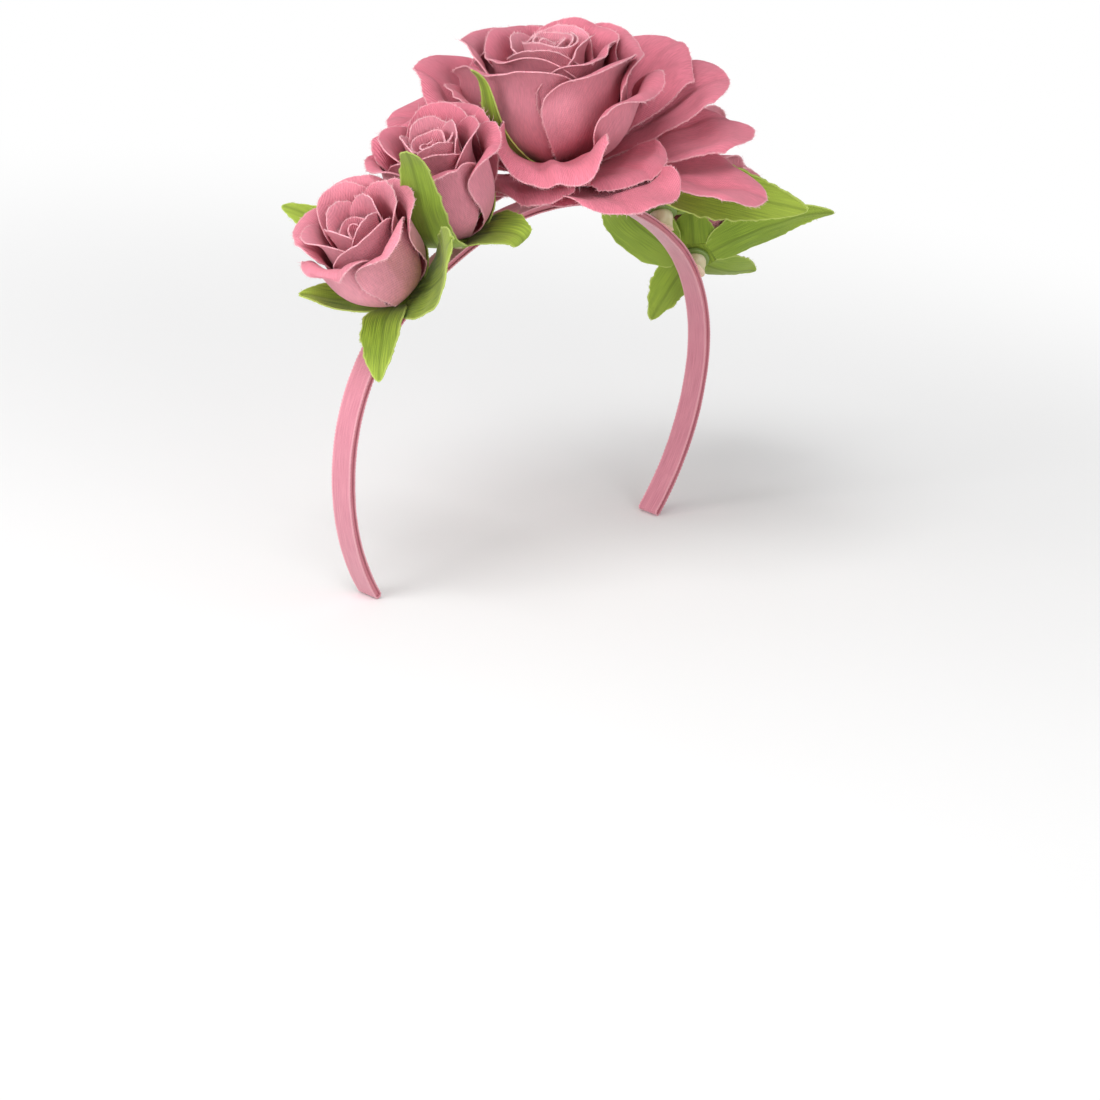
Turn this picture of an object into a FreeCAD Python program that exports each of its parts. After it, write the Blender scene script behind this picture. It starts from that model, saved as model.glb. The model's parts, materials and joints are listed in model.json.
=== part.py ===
"""A flower crown: five fabric roses glued along a narrow, ribbon-covered headband.

Millimetres, +Z up. The band lies in the XZ plane and is as sprung open on a head: its arms reach down, and
the wearer's face looks along -Y, so the wearer's right arm is at -X. The origin is the crown seat, the
highest point of the band's inner face, half way across its width.
"""

import FreeCAD, Part
import math
import os

V = FreeCAD.Vector

# ---- driving dimensions -------------------------------------------------------------------------------
crown_radius = 93.0         # inner face of the band over the top of the head, as worn
crown_angle = 38.0          # how far that arc reaches to each side of the top, degrees
head_half_width = 77.5      # from the middle to the inner face where the arms are widest apart
arm_radius = 72.0           # inner face of each arm below its widest point
tip_angle = 38.0            # how far each arm runs on below the widest point, degrees
core_width = 6.0
core_thickness = 1.6
core_edge = 0.5             # rounding of the core's long edges
ribbon_width = 7.0
ribbon_thickness = 0.35
ribbon_fold = 12.0          # length of ribbon turned in round each tip

fabric = 0.35               # stiffened petal cloth
calyx_fabric = 0.4
layer_gap = 0.45            # room between one die-cut layer and the next
peg_clearance = 0.1         # round the peg, in each layer's hole
peg_radius = 1.5
glue_radius = 3.3
glue_height = 1.0           # hot glue between the ribbon and a flange that lies square to it
roll_fabric = 0.5           # rolled strip at the heart of a rose
roll_pitch = 1.7            # from one turn of the roll to the next
heart_flare = 0.16          # how much wider the roll is at its mouth than at its foot
rim_round = 0.22            # how much of its length a petal's corner loses to its rounded end
leaf_round = 0.1
leaf_point = 0.8            # width left at the point of a sepal

# Each layer of the band, as a height above its inner face.
core_height = ribbon_thickness
ribbon_height = core_height + core_thickness
band_height = ribbon_height + ribbon_thickness
fold_angle = math.degrees(ribbon_fold / arm_radius)


# ---- small helpers ------------------------------------------------------------------------------------
def unit(degrees):
    """Cosine and sine of an angle in degrees."""
    return math.cos(math.radians(degrees)), math.sin(math.radians(degrees))


def band_arc(degrees):
    """The centre and radius of the arc of the band's inner face at a place, given as the angle of its
    outward normal: 0 is the widest point of the -X arm, 90 the top and 180 the widest point of the +X arm.
    The shoulder arc meets the crown arc and the widest point in line with both."""
    c, s = unit(crown_angle)
    shoulder_radius = (head_half_width - crown_radius * s) / (1 - s)
    widest = (crown_radius - shoulder_radius) * c - crown_radius
    side = 1 if degrees > 90 else -1
    down = abs(degrees - 90)
    if down <= crown_angle:
        return V(0, 0, -crown_radius), crown_radius
    if down <= 90:
        return V(side * (crown_radius - shoulder_radius) * s, 0, widest), shoulder_radius
    return V(side * (head_half_width - arm_radius), 0, widest), arm_radius


def on_band(height, degrees):
    """The point at a height above the band's inner face, square to it, at a place given as an angle."""
    middle, radius = band_arc(degrees)
    c, s = unit(degrees)
    return middle + V(-c, 0, s) * (radius + height)


def run(height, first, last):
    """The tangent arcs of the band's outline at one height, between two places."""
    joints = [a for a in (0, 90 - crown_angle, 90 + crown_angle, 180) if first < a < last]
    stops = [first, *joints, last]
    return [
        Part.Arc(on_band(height, a), on_band(height, (a + b) / 2), on_band(height, b)).toShape()
        for a, b in zip(stops, stops[1:])
    ]


def across(edges, width):
    """The solid that a closed outline in the XZ plane sweeps along Y, centred on the band."""
    face = Part.Face(Part.Wire(Part.__sortEdges__(edges)))
    face.translate(V(0, -width / 2, 0))
    return face.extrude(V(0, width, 0))


def save(name, *solids):
    """Writes one node."""
    shape = solids[0] if len(solids) == 1 else Part.makeCompound(list(solids))
    shape.exportStep(f"parts/{name}.step")
    print(f"{name}: {len(shape.Solids)} solid, valid {shape.isValid()}, {shape.Volume:.1f} mm3")


# ---- the band -----------------------------------------------------------------------------------------
def nose(low, high, end):
    """The half round that closes a strip past one of the band's tips."""
    reach = math.degrees((high - low) / 2 / arm_radius)
    middle = on_band((low + high) / 2, end - reach if end < 90 else end + reach)
    return Part.Arc(on_band(low, end), middle, on_band(high, end)).toShape()


def band_core():
    """The springy strip, its two ends rounded as seen from the side and its long edges eased."""
    first, last = -tip_angle, 180 + tip_angle
    edges = run(core_height, first, last) + run(ribbon_height, first, last)
    edges += [nose(core_height, ribbon_height, end) for end in (first, last)]
    core = across(edges, core_width)
    along = [e for e in core.Edges if abs(abs(e.CenterOfMass.y) - core_width / 2) < 1e-6]
    return core.makeFillet(core_edge, along)


def outer_ribbon():
    """Ribbon laid over the outside, turned round both tips and stuck down inside for a short way."""
    first, last = -tip_angle, 180 + tip_angle
    edges = run(ribbon_height, first, last) + run(band_height, first, last)
    for end, stop in ((first, first + fold_angle), (last, last - fold_angle)):
        edges += [nose(core_height, ribbon_height, end), nose(0, band_height, end)]
        edges += run(0, *sorted((end, stop))) + run(core_height, *sorted((end, stop)))
        edges.append(Part.makeLine(on_band(0, stop), on_band(core_height, stop)))
    return across(edges, ribbon_width)


def inner_ribbon():
    """The lining ribbon against the hair, which butts against both turned-in ends."""
    first, last = fold_angle - tip_angle, 180 + tip_angle - fold_angle
    edges = run(0, first, last) + run(core_height, first, last)
    edges += [Part.makeLine(on_band(0, a), on_band(core_height, a)) for a in (first, last)]
    return across(edges, ribbon_width)


# ---- petals -------------------------------------------------------------------------------------------
# A petal's settings: its length and width; its slope at the hub and above its bowl, in degrees from level;
# the share of its length that the bowl takes; how far its rim rolls out, in degrees; the radius it is cupped
# to; its twist about its own spine, which tucks one edge under the next petal; and its sideways sweep.
PETAL = dict(slope=90, roll=0, twist=4, sweep=0)


def slope_at(petal, s):
    """The spine's slope in radians at a share s of its length: it eases up through the bowl, and the rim
    rolls out over the last third."""
    up = min(1, s / petal["bowl"])
    ease = up * up * (3 - 2 * up)
    out = max(0, (s - 0.66) / 0.34) ** 2
    return math.radians(petal["base"] + (petal["slope"] - petal["base"]) * ease - petal["roll"] * out)


def spine(petal, s, steps=16):
    """How far out and up the petal's spine is at s: the sums of the cosine and the sine of its slope."""
    out = up = 0.0
    for i in range(steps):
        angle = slope_at(petal, s * (i + 0.5) / steps)
        out += math.cos(angle) * s / steps
        up += math.sin(angle) * s / steps
    return petal["length"] * out, petal["length"] * up


def half_width(petal, s, side, pointed):
    """Half the petal's width at s: half the hub's side at the root, then a bell that is widest two thirds
    of the way along, or for a sepal one that comes to a point."""
    root = side / 2 * (1 - s) ** 2
    if pointed:
        bell = math.sin(math.pi * s**0.9)
        return root + leaf_point / 2 * s + (petal["width"] - leaf_point) / 2 * bell
    return root + petal["width"] / 2 * math.sin(0.62 * math.pi * s**1.2)


def petal_grid(petal, hub, count, cloth, below, pointed):
    """Points of one face of a petal whose root is one side of the hub's polygon, in a frame with X outward.
    Across the petal the cloth follows an arc of the cup radius, turned about the spine by the twist."""
    tangent = math.tan(math.pi / count)
    side = 2 * hub * tangent
    rounding = leaf_round if pointed else rim_round
    rows = []
    for s in (0, 0.14, 0.3, 0.46, 0.62, 0.76, 0.89, 1):
        row = []
        for t in (-1, -0.67, -0.33, 0, 0.33, 0.67, 1):
            along = s * (1 - rounding * t * t * s)
            out, up = spine(petal, along)
            angle = slope_at(petal, along)
            arc_length = half_width(petal, s, side, pointed) * t
            curve = (1 - math.exp(-6 * s)) / petal["cup"]
            turn = arc_length * curve
            sideways = math.sin(turn) / curve if s else arc_length
            lift = (1 - math.cos(turn)) / curve if s else 0
            c, n = unit(petal["twist"] * min(1, s / 0.6))
            sideways, lift = sideways * c - lift * n, sideways * n + lift * c
            turn += math.atan2(n, c)
            if below:
                bevel = cloth * unit(petal["base"])[1] * tangent
                sideways += cloth * math.sin(turn) + t * bevel * (1 - s) ** 2
                lift -= cloth * math.cos(turn)
            x = hub + out - math.sin(angle) * lift
            row.append(V(x, sideways + petal["sweep"] * s * s, up + math.cos(angle) * lift))
        rows.append(row)
    return rows


def surface(rows):
    """The smooth surface through a grid of points."""
    face = Part.BSplineSurface()
    face.interpolate(rows)
    return face


def petal_faces(petal, hub, count, cloth, pointed):
    """A petal's two faces and the cut edge of its cloth, open at the root."""
    skins = [surface(petal_grid(petal, hub, count, cloth, below, pointed)) for below in (False, True)]
    u_end, v_start, v_end = skins[0].bounds()[1:]
    walls = [[skin.uIso(u_end).toShape() for skin in skins]]
    walls += [[skin.vIso(v).toShape() for skin in skins] for v in (v_start, v_end)]
    return [skin.toShape() for skin in skins] + [Part.makeRuledSurface(*pair) for pair in walls]


def polygon(apothem, count, z):
    """The corners of the hub's polygon at one height, the first side facing +X."""
    reach = apothem / math.cos(math.pi / count)
    turns = [unit((k - 0.5) * 360 / count) for k in range(count)]
    return [V(reach * c, reach * s, z) for c, s in turns]


def hub_drop(petal, cloth):
    """The hub's thickness: the cloth leaves it at the petals' base slope, which bevels its sides."""
    return cloth * unit(petal["base"])[0]


def whorl(petals, hub, z, cloth, turn, hole, pointed=False):
    """One die-cut layer: a polygonal hub with a hole for the peg, and a petal on each side that isn't None,
    all sewn into one solid. z is the height of the hub's underside."""
    count = len(petals)
    grown = next(p for p in petals if p)
    drop = hub_drop(grown, cloth)
    spread = cloth * unit(grown["base"])[1]
    top, bottom = polygon(hub, count, 0), polygon(hub + spread, count, -drop)
    faces = []
    for k, petal in enumerate(petals):
        if petal:
            for face in petal_faces(petal, hub, count, cloth, pointed):
                face.rotate(V(0, 0, 0), V(0, 0, 1), 360 / count * k)
                faces.append(face)
        else:
            n = (k + 1) % count
            faces.append(Part.Face(Part.makePolygon([top[k], top[n], bottom[n], bottom[k], top[k]])))
    for ring, height in ((top, 0), (bottom, -drop)):
        inside = Part.Wire(Part.makeCircle(hole, V(0, 0, height)))
        faces.append(Part.makeFace([Part.makePolygon(ring + ring[:1]), inside], "Part::FaceMakerBullseye"))
    faces.append(Part.makeCylinder(hole, drop, V(0, 0, -drop)).Faces[0])
    sewn = Part.makeCompound(faces)
    sewn.sewShape(0.001)
    solid = Part.Solid(sewn.Shells[0])
    if solid.Volume < 0:
        solid.reverse()
    solid.rotate(V(0, 0, 0), V(0, 0, 1), turn)
    solid.translate(V(0, 0, z + drop))
    return solid


def vary(shared, *changes):
    """One petal for each change, on top of the settings that the layer's petals share."""
    return [{**PETAL, **shared, **change} if change is not None else None for change in changes]


def ring(count, **shared):
    """Petals that are all alike."""
    return vary(shared, *[{}] * count)


# ---- the heart and the cup ----------------------------------------------------------------------------
def roll(inner, turns, height, flare, z):
    """The rolled strip at the heart: a spiral wall, wider at its mouth than at its foot by the flare."""
    def outline(scale, level):
        sides = []
        steps = 8 * math.ceil(turns)
        for wall in (0, roll_fabric):
            points = []
            for i in range(steps + 1):
                share = turns * i / steps
                reach = inner + roll_pitch * share + wall
                c, s = unit(360 * share)
                points.append(V(scale * reach * c, scale * reach * s, level))
            curve = Part.BSplineCurve()
            curve.interpolate(points)
            sides.append(curve.toShape())
        starts, ends = [[e.Vertexes[n].Point for e in sides] for n in (0, -1)]
        return Part.Wire(Part.__sortEdges__(sides + [Part.makeLine(*starts), Part.makeLine(*ends)]))

    return Part.makeLoft([outline(1, z), outline(1 + flare, z + height)], True, True)


def cup(flange, disc, top):
    """The moulded receptacle: a flange that is glued to the band, and the peg that the layers slide on."""
    points = [V(0, 0, 0), V(flange, 0, 0), V(flange, 0, disc), V(peg_radius, 0, disc)]
    points += [V(peg_radius, 0, top - peg_radius / 2), V(peg_radius / 2, 0, top), V(0, 0, top), V(0, 0, 0)]
    profile = Part.Face(Part.makePolygon(points))
    return profile.revolve(V(0, 0, 0), V(0, 0, 1), 360)


# ---- a rose -------------------------------------------------------------------------------------------
def stand(shape, place):
    """Moves a shape from its rose's frame, Z along the stem, to its place on the band. At the angle `at`, X
    runs along the band towards the wearer's left and Y towards the back of the head; lean tips the rose
    along X and pitch tips it along Y, in degrees."""
    square = FreeCAD.Rotation(V(0, 1, 0), place["at"] - 90)
    tipped = FreeCAD.Rotation(V(0, 1, 0), place["lean"]) * FreeCAD.Rotation(V(1, 0, 0), -place["pitch"])
    foot = on_band(band_height, place["at"]) + square.multVec(V(0, 0, foot_height(place)))
    shape.Placement = FreeCAD.Placement(foot, square * tipped) * shape.Placement
    return shape


def foot_height(place):
    """How far the flange's middle stands off the ribbon, so that its rim stays clear when the rose tips."""
    return glue_height + place["flange"] * unit(math.hypot(place["lean"], place["pitch"]))[1]


def glue(place):
    """The blob of hot glue under a flange, moulded to the ribbon below it."""
    sunk = glue_radius + foot_height(place)
    blob = stand(Part.makeCylinder(glue_radius, sunk, V(0, 0, -sunk)), place)
    middle, radius = band_arc(place["at"])
    below = Part.makeCylinder(radius + band_height, 2 * sunk, middle + V(0, -sunk, 0), V(0, 1, 0))
    return blob.cut(below)


def rose(name, place, layers, heart_turns, heart_height, heart_rise):
    """One rose: its cup, its die-cut layers from the lowest up, and its rolled heart."""
    z = place["disc"]
    hole = peg_radius + peg_clearance
    for layer, petals, hub, turn in layers:
        pointed = "petals" not in layer
        cloth = calyx_fabric if pointed else fabric
        z += layer_gap
        save(f"{name}_{layer}", stand(whorl(petals, hub, z, cloth, turn, hole, pointed), place))
        z += hub_drop(next(p for p in petals if p), cloth)
    foot = z + heart_rise
    inner = peg_radius + 2 * peg_clearance
    save(f"{name}_heart", stand(roll(inner, heart_turns, heart_height, heart_flare, foot), place))
    save(f"{name}_cup", stand(cup(place["flange"], place["disc"], foot + heart_height / 3), place))


# Where each rose stands: its angle round the band, how it tips, its cup's flange, radius and thickness, and
# how far its calyx and its petals are turned about the stem.
LARGE = dict(at=91, lean=-11, pitch=2, flange=6.0, disc=3.5)
RIGHT_ROSE = dict(at=66.5, lean=-3, pitch=2, flange=4.6, disc=1.2, calyx=205, petals=10)
RIGHT_BUD = dict(at=49.5, lean=1, pitch=4, flange=4.2, disc=1.2, calyx=62, petals=42)
LEFT_ROSE = dict(at=122, lean=0, pitch=30, flange=4.6, disc=1.2, calyx=198, petals=150)
LEFT_BUD = dict(at=143.5, lean=0, pitch=30, flange=4.2, disc=1.2, calyx=260, petals=60)


def sepals(base, *changes):
    """Pointed calyx lobes."""
    return vary(dict(base=base, bowl=0.85, cup=12, twist=0, width=11), *changes)


def large_rose():
    """The opened rose at the top of the head: a full bud inside four rings of spread petals."""
    outer = dict(width=34, bowl=0.5, cup=34, twist=5)
    full = dict(length=46, width=44, base=32, bowl=0.76, cup=25, roll=35)
    layers = [
        ("leaf", sepals(-8, dict(length=68, width=16, slope=-17, bowl=0.5, cup=16), *[None] * 4), 8.2, -37),
        ("petals_7", vary(
            {**outer, "base": 2},
            dict(length=54, width=30, slope=-7, roll=-5, twist=1),
            dict(length=34, slope=5),
            dict(length=40, slope=12, sweep=16, twist=-6),
            dict(length=18, width=20, slope=-8),
            dict(length=15, width=20, slope=-6),
        ), 7.6, -56),
        ("petals_6", vary(
            {**outer, "base": 10},
            dict(length=52, width=25, slope=9, roll=-10, twist=10),
            dict(length=40, slope=20),
            dict(length=46, slope=26, roll=15, sweep=4, twist=-6),
            dict(length=18, width=22, slope=0),
            dict(length=41, slope=6, roll=10, cup=60, twist=2, sweep=6),
        ), 7.0, -38),
        ("petals_5", vary(
            {**outer, "base": 18},
            dict(length=52, width=28, slope=31, roll=12, twist=14, sweep=-6),
            dict(length=40, slope=36),
            dict(length=46, slope=56, roll=15, sweep=-6, twist=-6),
            dict(length=28, width=28, slope=8, roll=20, cup=60, sweep=10),
            dict(length=32, width=30, slope=16, roll=30, cup=50),
        ), 6.4, -20),
        ("petals_4", vary(
            {**outer, "base": 24},
            dict(length=48, width=30, slope=47, roll=15, twist=14, sweep=-8),
            dict(length=40, slope=60),
            dict(length=40, width=30, bowl=0.9, slope=84, roll=30, sweep=8),
            dict(length=35, width=40, slope=15, roll=40, cup=22, sweep=6, twist=-4),
            dict(length=43, bowl=0.85, slope=80, roll=100, cup=26),
        ), 5.8, -4),
        ("calyx", sepals(
            28,
            dict(length=46, width=9, slope=84, roll=20, cup=26, sweep=-3),
            None,
            dict(length=15, width=8, slope=44, cup=26),
            dict(length=18, width=8, slope=52, cup=26),
            dict(length=18, width=8, slope=52, cup=26),
        ), 4.6, 180),
        ("petals_3", vary(
            full,
            dict(length=41),
            dict(length=45),
            dict(length=43),
            dict(length=44, width=36, sweep=3),
            dict(length=43, roll=45),
        ), 4.5, 38),
        ("petals_2", ring(4, length=42, width=36, base=38, bowl=0.66, cup=18, roll=20), 3.0, 0),
        ("petals_1", ring(4, length=38, width=27, base=42, bowl=0.5, cup=12, slope=92), 2.2, 22),
    ]
    rose("large_rose", LARGE, layers, 3.0, 28, 9)


def medium_rose(name, place):
    """A half-opened rose beside the large one."""
    spin = place["petals"]
    layers = [
        ("calyx", sepals(
            24,
            dict(length=46, width=9, slope=85, bowl=0.5, roll=30),
            dict(length=16, slope=-20),
            dict(length=13, slope=58),
            dict(length=13, slope=58),
            dict(length=26, slope=50),
        ), 5.2, place["calyx"]),
        ("petals_3", ring(5, length=37, width=24, base=35, bowl=0.6, cup=15, roll=30), 4.5, spin),
        ("petals_2", ring(4, length=37, width=24, base=40, bowl=0.5, cup=12, roll=15), 3.0, spin + 20),
        ("petals_1", ring(4, length=34, width=18, base=45, bowl=0.42, cup=7.5, slope=92), 2.2, spin + 42),
    ]
    rose(name, place, layers, 1.9, 25, 6)


def bud(name, place):
    """A small closed rose at the end of the row."""
    spin = place["petals"]
    layers = [
        ("calyx", sepals(
            24,
            dict(length=33, slope=38, sweep=14),
            dict(length=23, slope=42),
            dict(length=26, slope=-15, bowl=0.5),
            dict(length=28, width=14, slope=58, roll=10, twist=-14),
            dict(length=11, slope=40),
        ), 5.0, place["calyx"]),
        ("petals_3", ring(5, length=35, width=23, base=36, bowl=0.6, cup=14, roll=25), 4.4, spin),
        ("petals_2", ring(4, length=35, width=23, base=41, bowl=0.54, cup=11, roll=10), 3.0, spin + 20),
        ("petals_1", ring(4, length=32, width=16, base=46, bowl=0.42, cup=7.5, slope=92), 2.2, spin + 42),
    ]
    rose(name, place, layers, 1.5, 21, 5)


os.makedirs("parts", exist_ok=True)
save("band_core", band_core())
save("outer_ribbon", outer_ribbon())
save("inner_ribbon", inner_ribbon())
save("glue_pads", *[glue(place) for place in (LARGE, RIGHT_ROSE, RIGHT_BUD, LEFT_ROSE, LEFT_BUD)])
large_rose()
medium_rose("right_rose", RIGHT_ROSE)
medium_rose("left_rose", LEFT_ROSE)
bud("right_bud", RIGHT_BUD)
bud("left_bud", LEFT_BUD)
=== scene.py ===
# %% [markdown]
# # A flower crown of fabric roses, dressed in Blender
#
# The crown is five cloth roses glued along a narrow headband that is covered with satin ribbon. Each rose is
# a stack of die-cut layers of stiffened cloth, threaded on the peg of a moulded cup, with a rolled strip at
# its heart and pointed green sepals round its foot. The solids come from CAD and fix every place and size.
# What they can't show is what makes the crown look like cloth: petals that curl and ruffle, edges that fray,
# a twill weave, veined leaves and a ribbon with a woven edge. This lesson adds those, piece by piece.
#
# All work is in millimetres until a mesh is made, and then in metres, in the same frame as the CAD.

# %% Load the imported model
import json
import math

import bpy
import numpy as np
from mathutils import Matrix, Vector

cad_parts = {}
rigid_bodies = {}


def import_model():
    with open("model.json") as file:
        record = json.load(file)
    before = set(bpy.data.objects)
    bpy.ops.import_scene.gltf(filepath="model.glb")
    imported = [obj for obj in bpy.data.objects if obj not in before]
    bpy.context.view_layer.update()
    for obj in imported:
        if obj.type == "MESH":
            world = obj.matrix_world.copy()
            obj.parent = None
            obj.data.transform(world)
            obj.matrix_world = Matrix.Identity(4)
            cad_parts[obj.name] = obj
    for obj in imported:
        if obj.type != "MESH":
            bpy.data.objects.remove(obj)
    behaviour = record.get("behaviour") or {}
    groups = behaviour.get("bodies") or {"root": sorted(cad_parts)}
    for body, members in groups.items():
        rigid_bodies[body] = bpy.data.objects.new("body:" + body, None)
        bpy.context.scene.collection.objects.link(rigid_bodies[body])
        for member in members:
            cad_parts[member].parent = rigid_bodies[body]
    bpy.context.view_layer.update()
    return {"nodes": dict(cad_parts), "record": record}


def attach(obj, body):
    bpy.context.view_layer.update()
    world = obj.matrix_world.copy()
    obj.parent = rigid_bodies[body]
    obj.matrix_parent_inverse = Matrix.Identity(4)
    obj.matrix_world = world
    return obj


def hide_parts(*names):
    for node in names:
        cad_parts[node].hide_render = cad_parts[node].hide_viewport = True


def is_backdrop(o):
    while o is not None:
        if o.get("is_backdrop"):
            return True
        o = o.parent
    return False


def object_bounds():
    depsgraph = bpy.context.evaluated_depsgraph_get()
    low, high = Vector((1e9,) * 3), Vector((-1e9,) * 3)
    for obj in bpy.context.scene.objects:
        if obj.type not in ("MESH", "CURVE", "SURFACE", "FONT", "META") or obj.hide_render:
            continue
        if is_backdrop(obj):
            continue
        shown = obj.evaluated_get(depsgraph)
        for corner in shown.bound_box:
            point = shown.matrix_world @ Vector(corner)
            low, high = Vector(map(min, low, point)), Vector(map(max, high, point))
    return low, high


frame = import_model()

# %% [markdown]
# ## Reading places from the solids
#
# Each cup is a solid of revolution, so its own mesh tells where its rose stands. The line that it is turned
# about is the one direction in which the surface spreads differently from the other two, which the
# eigenvectors of its spread give. The layers' heights are read the same way, from the rim of the hole that
# each layer has round the peg. Nothing is typed in that the solids can tell.

# %% Points of a CAD node, and the frame of a rose
MM = 0.001


def node_points(name):
    """The corners of a node's mesh in mm, and its triangles as rows of three indices."""
    mesh = frame["nodes"][name].data
    mesh.calc_loop_triangles()
    points = np.empty(len(mesh.vertices) * 3, np.float32)
    corners = np.empty(len(mesh.loop_triangles) * 3, np.int32)
    mesh.vertices.foreach_get("co", points)
    mesh.loop_triangles.foreach_get("vertices", corners)
    return points.reshape(-1, 3).astype(float) / MM, corners.reshape(-1, 3)


def stem_frame(cup):
    """The foot of a rose and its three directions as the columns of a matrix: Z up the stem, X along the
    band. The spread of a triangle about the middle is its area over twelve times the sum of the squares of
    its three corners and of their total."""
    points, triangles = node_points(cup)
    a, b, c = (points[triangles[:, k]] for k in range(3))
    area = np.linalg.norm(np.cross(b - a, c - a), axis=1) / 2
    middle = ((a + b + c) / 3 * area[:, None]).sum(0) / area.sum()
    corners = [a - middle, b - middle, c - middle]
    spread = sum(np.einsum("n,ni,nj->ij", area / 12, q, q) for q in (*corners, sum(corners)))
    values, vectors = np.linalg.eigh(spread)
    axis = vectors[:, 0 if values[1] - values[0] > values[2] - values[1] else 2]
    heights = (points - middle) @ axis
    if heights.max() < -heights.min():
        axis, heights = -axis, -heights
    along = np.array([axis[2], 0, -axis[0]]) / math.hypot(axis[0], axis[2])
    return middle + axis * heights.min(), np.stack([along, np.cross(axis, along), axis], axis=1)


def in_rose(place, points):
    """Points of the part in a rose's own frame."""
    foot, turn = place
    return (points - foot) @ turn


def out_of_rose(place, points):
    """Points of a rose's own frame in the part."""
    foot, turn = place
    return foot + points @ turn.T


ROSES = ("large_rose", "right_rose", "right_bud", "left_rose", "left_bud")
stems = {rose: stem_frame(f"{rose}_cup") for rose in ROSES}
for rose, (foot, turn) in stems.items():
    print(rose, "foot", foot.round(2), "stem", turn[:, 2].round(3))


# %% How high a layer's hub lies
def hub_top(rose, node, reach=1.75):
    """The highest point within reach of the stem, in mm over the rose's foot: the top of the hub."""
    local = in_rose(stems[rose], node_points(node)[0])
    return local[np.hypot(local[:, 0], local[:, 1]) < reach, 2].max()


print("top of the large rose's lowest hub, mm:", round(hub_top("large_rose", "large_rose_leaf"), 3))

# %% [markdown]
# ## Making a mesh from a grid
#
# Most new pieces here are cloth: one grid of points for the face, the same grid moved back by the cloth's
# thickness for the back, and a narrow strip round the edge that closes the two into a shell. A Solidify
# modifier would do as much, but worked out here each point can also carry what the materials read: its flat
# coordinates in mm, as a UV map, so that the weave follows the cloth, and three numbers that say how far the
# cut edge is, how far along the petal the point lies, and whether it is on the back.

# %% Shells of cloth
FAR_INSIDE = 5.0  # mm from the cut edge, where no material shows wear any more


def unit(vectors):
    """Vectors divided by their own lengths."""
    return vectors / np.maximum(np.linalg.norm(vectors, axis=-1, keepdims=True), 1e-12)


def directions(points):
    """The unit directions down the rows and across the columns of a grid, and the unit normal, which is
    their cross product."""
    down, across = np.gradient(points, axis=0), np.gradient(points, axis=1)
    return unit(down), unit(across), unit(np.cross(down, across))


def border(rows, cols):
    """The indices round a grid in the order in which its quads pass them."""
    i = np.arange(rows * cols).reshape(rows, cols)
    return np.concatenate([i[:-1, 0], i[-1, :-1], i[:0:-1, -1], i[0, :0:-1]])


def shell_quads(rows, cols):
    """The quads of a closed shell: the face, the back with its order turned round, and the edge strip."""
    i = np.arange(rows * cols).reshape(rows, cols)
    face = np.stack([i[:-1, :-1], i[1:, :-1], i[1:, 1:], i[:-1, 1:]], axis=-1).reshape(-1, 4)
    ring = border(rows, cols)
    ahead = np.roll(ring, -1)
    back = face[:, ::-1] + rows * cols
    strip = np.stack([ahead, ring, ring + rows * cols, ahead + rows * cols], axis=1)
    return np.concatenate([face, back, strip])


def shell(points, cloth, flat, rim, rise):
    """A grid of points thickened to a shell. Returns its points, its faces, and per point the two flat
    coordinates, the distance from the cut edge, the share of the length and the back's mark."""
    rows, cols = points.shape[:2]
    normal = directions(points)[2]
    both = np.concatenate([points.reshape(-1, 3), (points - normal * cloth).reshape(-1, 3)])
    twice = lambda grid: np.tile(grid.reshape(rows * cols, -1), (2, 1))
    back = np.repeat([0.0, 1.0], rows * cols)[:, None]
    extra = np.concatenate([twice(flat), twice(rim), twice(rise), back], axis=1)
    return both, [shell_quads(rows, cols)], extra


# %% From arrays to an object
def make_piece(name, parts, material, nodes, sharp=50):
    """One piece from a list of parts. Each part has points in mm, a list of tables of quads or triangles, and
    per point the five numbers that a shell carries. A part's indices move on by the points before it."""
    starts = np.cumsum([0] + [len(points) for points, _, _ in parts])
    points = np.concatenate([points for points, _, _ in parts]) * MM
    faces = [
        face for start, (_, tables, _) in zip(starts, parts) for table in tables
        for face in (table + start).tolist()]
    extra = np.concatenate([more for _, _, more in parts]).astype(np.float32)
    mesh = bpy.data.meshes.new(name)
    mesh.from_pydata(points, [], faces)
    corners = np.empty(len(mesh.loops), np.int32)
    mesh.loops.foreach_get("vertex_index", corners)
    mesh.uv_layers.new(name="cloth").data.foreach_set("uv", extra[corners, :2].ravel())
    for column, label in ((2, "rim"), (3, "rise"), (4, "back")):
        mesh.attributes.new(label, "FLOAT", "POINT").data.foreach_set("value", extra[:, column].copy())
    mesh.shade_smooth()
    mesh.set_sharp_from_angle(angle=math.radians(sharp))
    mesh.materials.append(material)
    piece = bpy.data.objects.new(name, mesh)
    bpy.context.scene.collection.objects.link(piece)
    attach(piece, "root")
    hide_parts(*nodes)
    return piece


# %% [markdown]
# ## Materials: dyed twill
#
# Petals are cut from a fine twill, stiffened and dyed. The colour is uneven: deeper towards the foot of a
# petal, which is partly the dye and partly painted shade where the petals crowd round the hub, paler on the
# worn cut edges, and a little greyer on the back. The twill is a fine diagonal line, less than half a
# millimetre from one to the next, made from the sine of the flat coordinates, so it runs with the cloth
# however the petal bends. Two noises break it up: long thin ones along the threads, and a soft mottle in the
# object's own coordinates. The same lines drive the bump.

# %% A colour and an empty material
def dye(red, green, blue):
    """A colour as it is seen on a screen, from 0 to 255, made linear: below 0.04045 it is divided by 12.92,
    and above, 0.055 is added, 1.055 divides it and it is raised to 2.4."""
    seen = np.array([red, green, blue]) / 255
    linear = np.where(seen <= 0.04045, seen / 12.92, ((seen + 0.055) / 1.055) ** 2.4)
    return (*linear.tolist(), 1.0)


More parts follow.
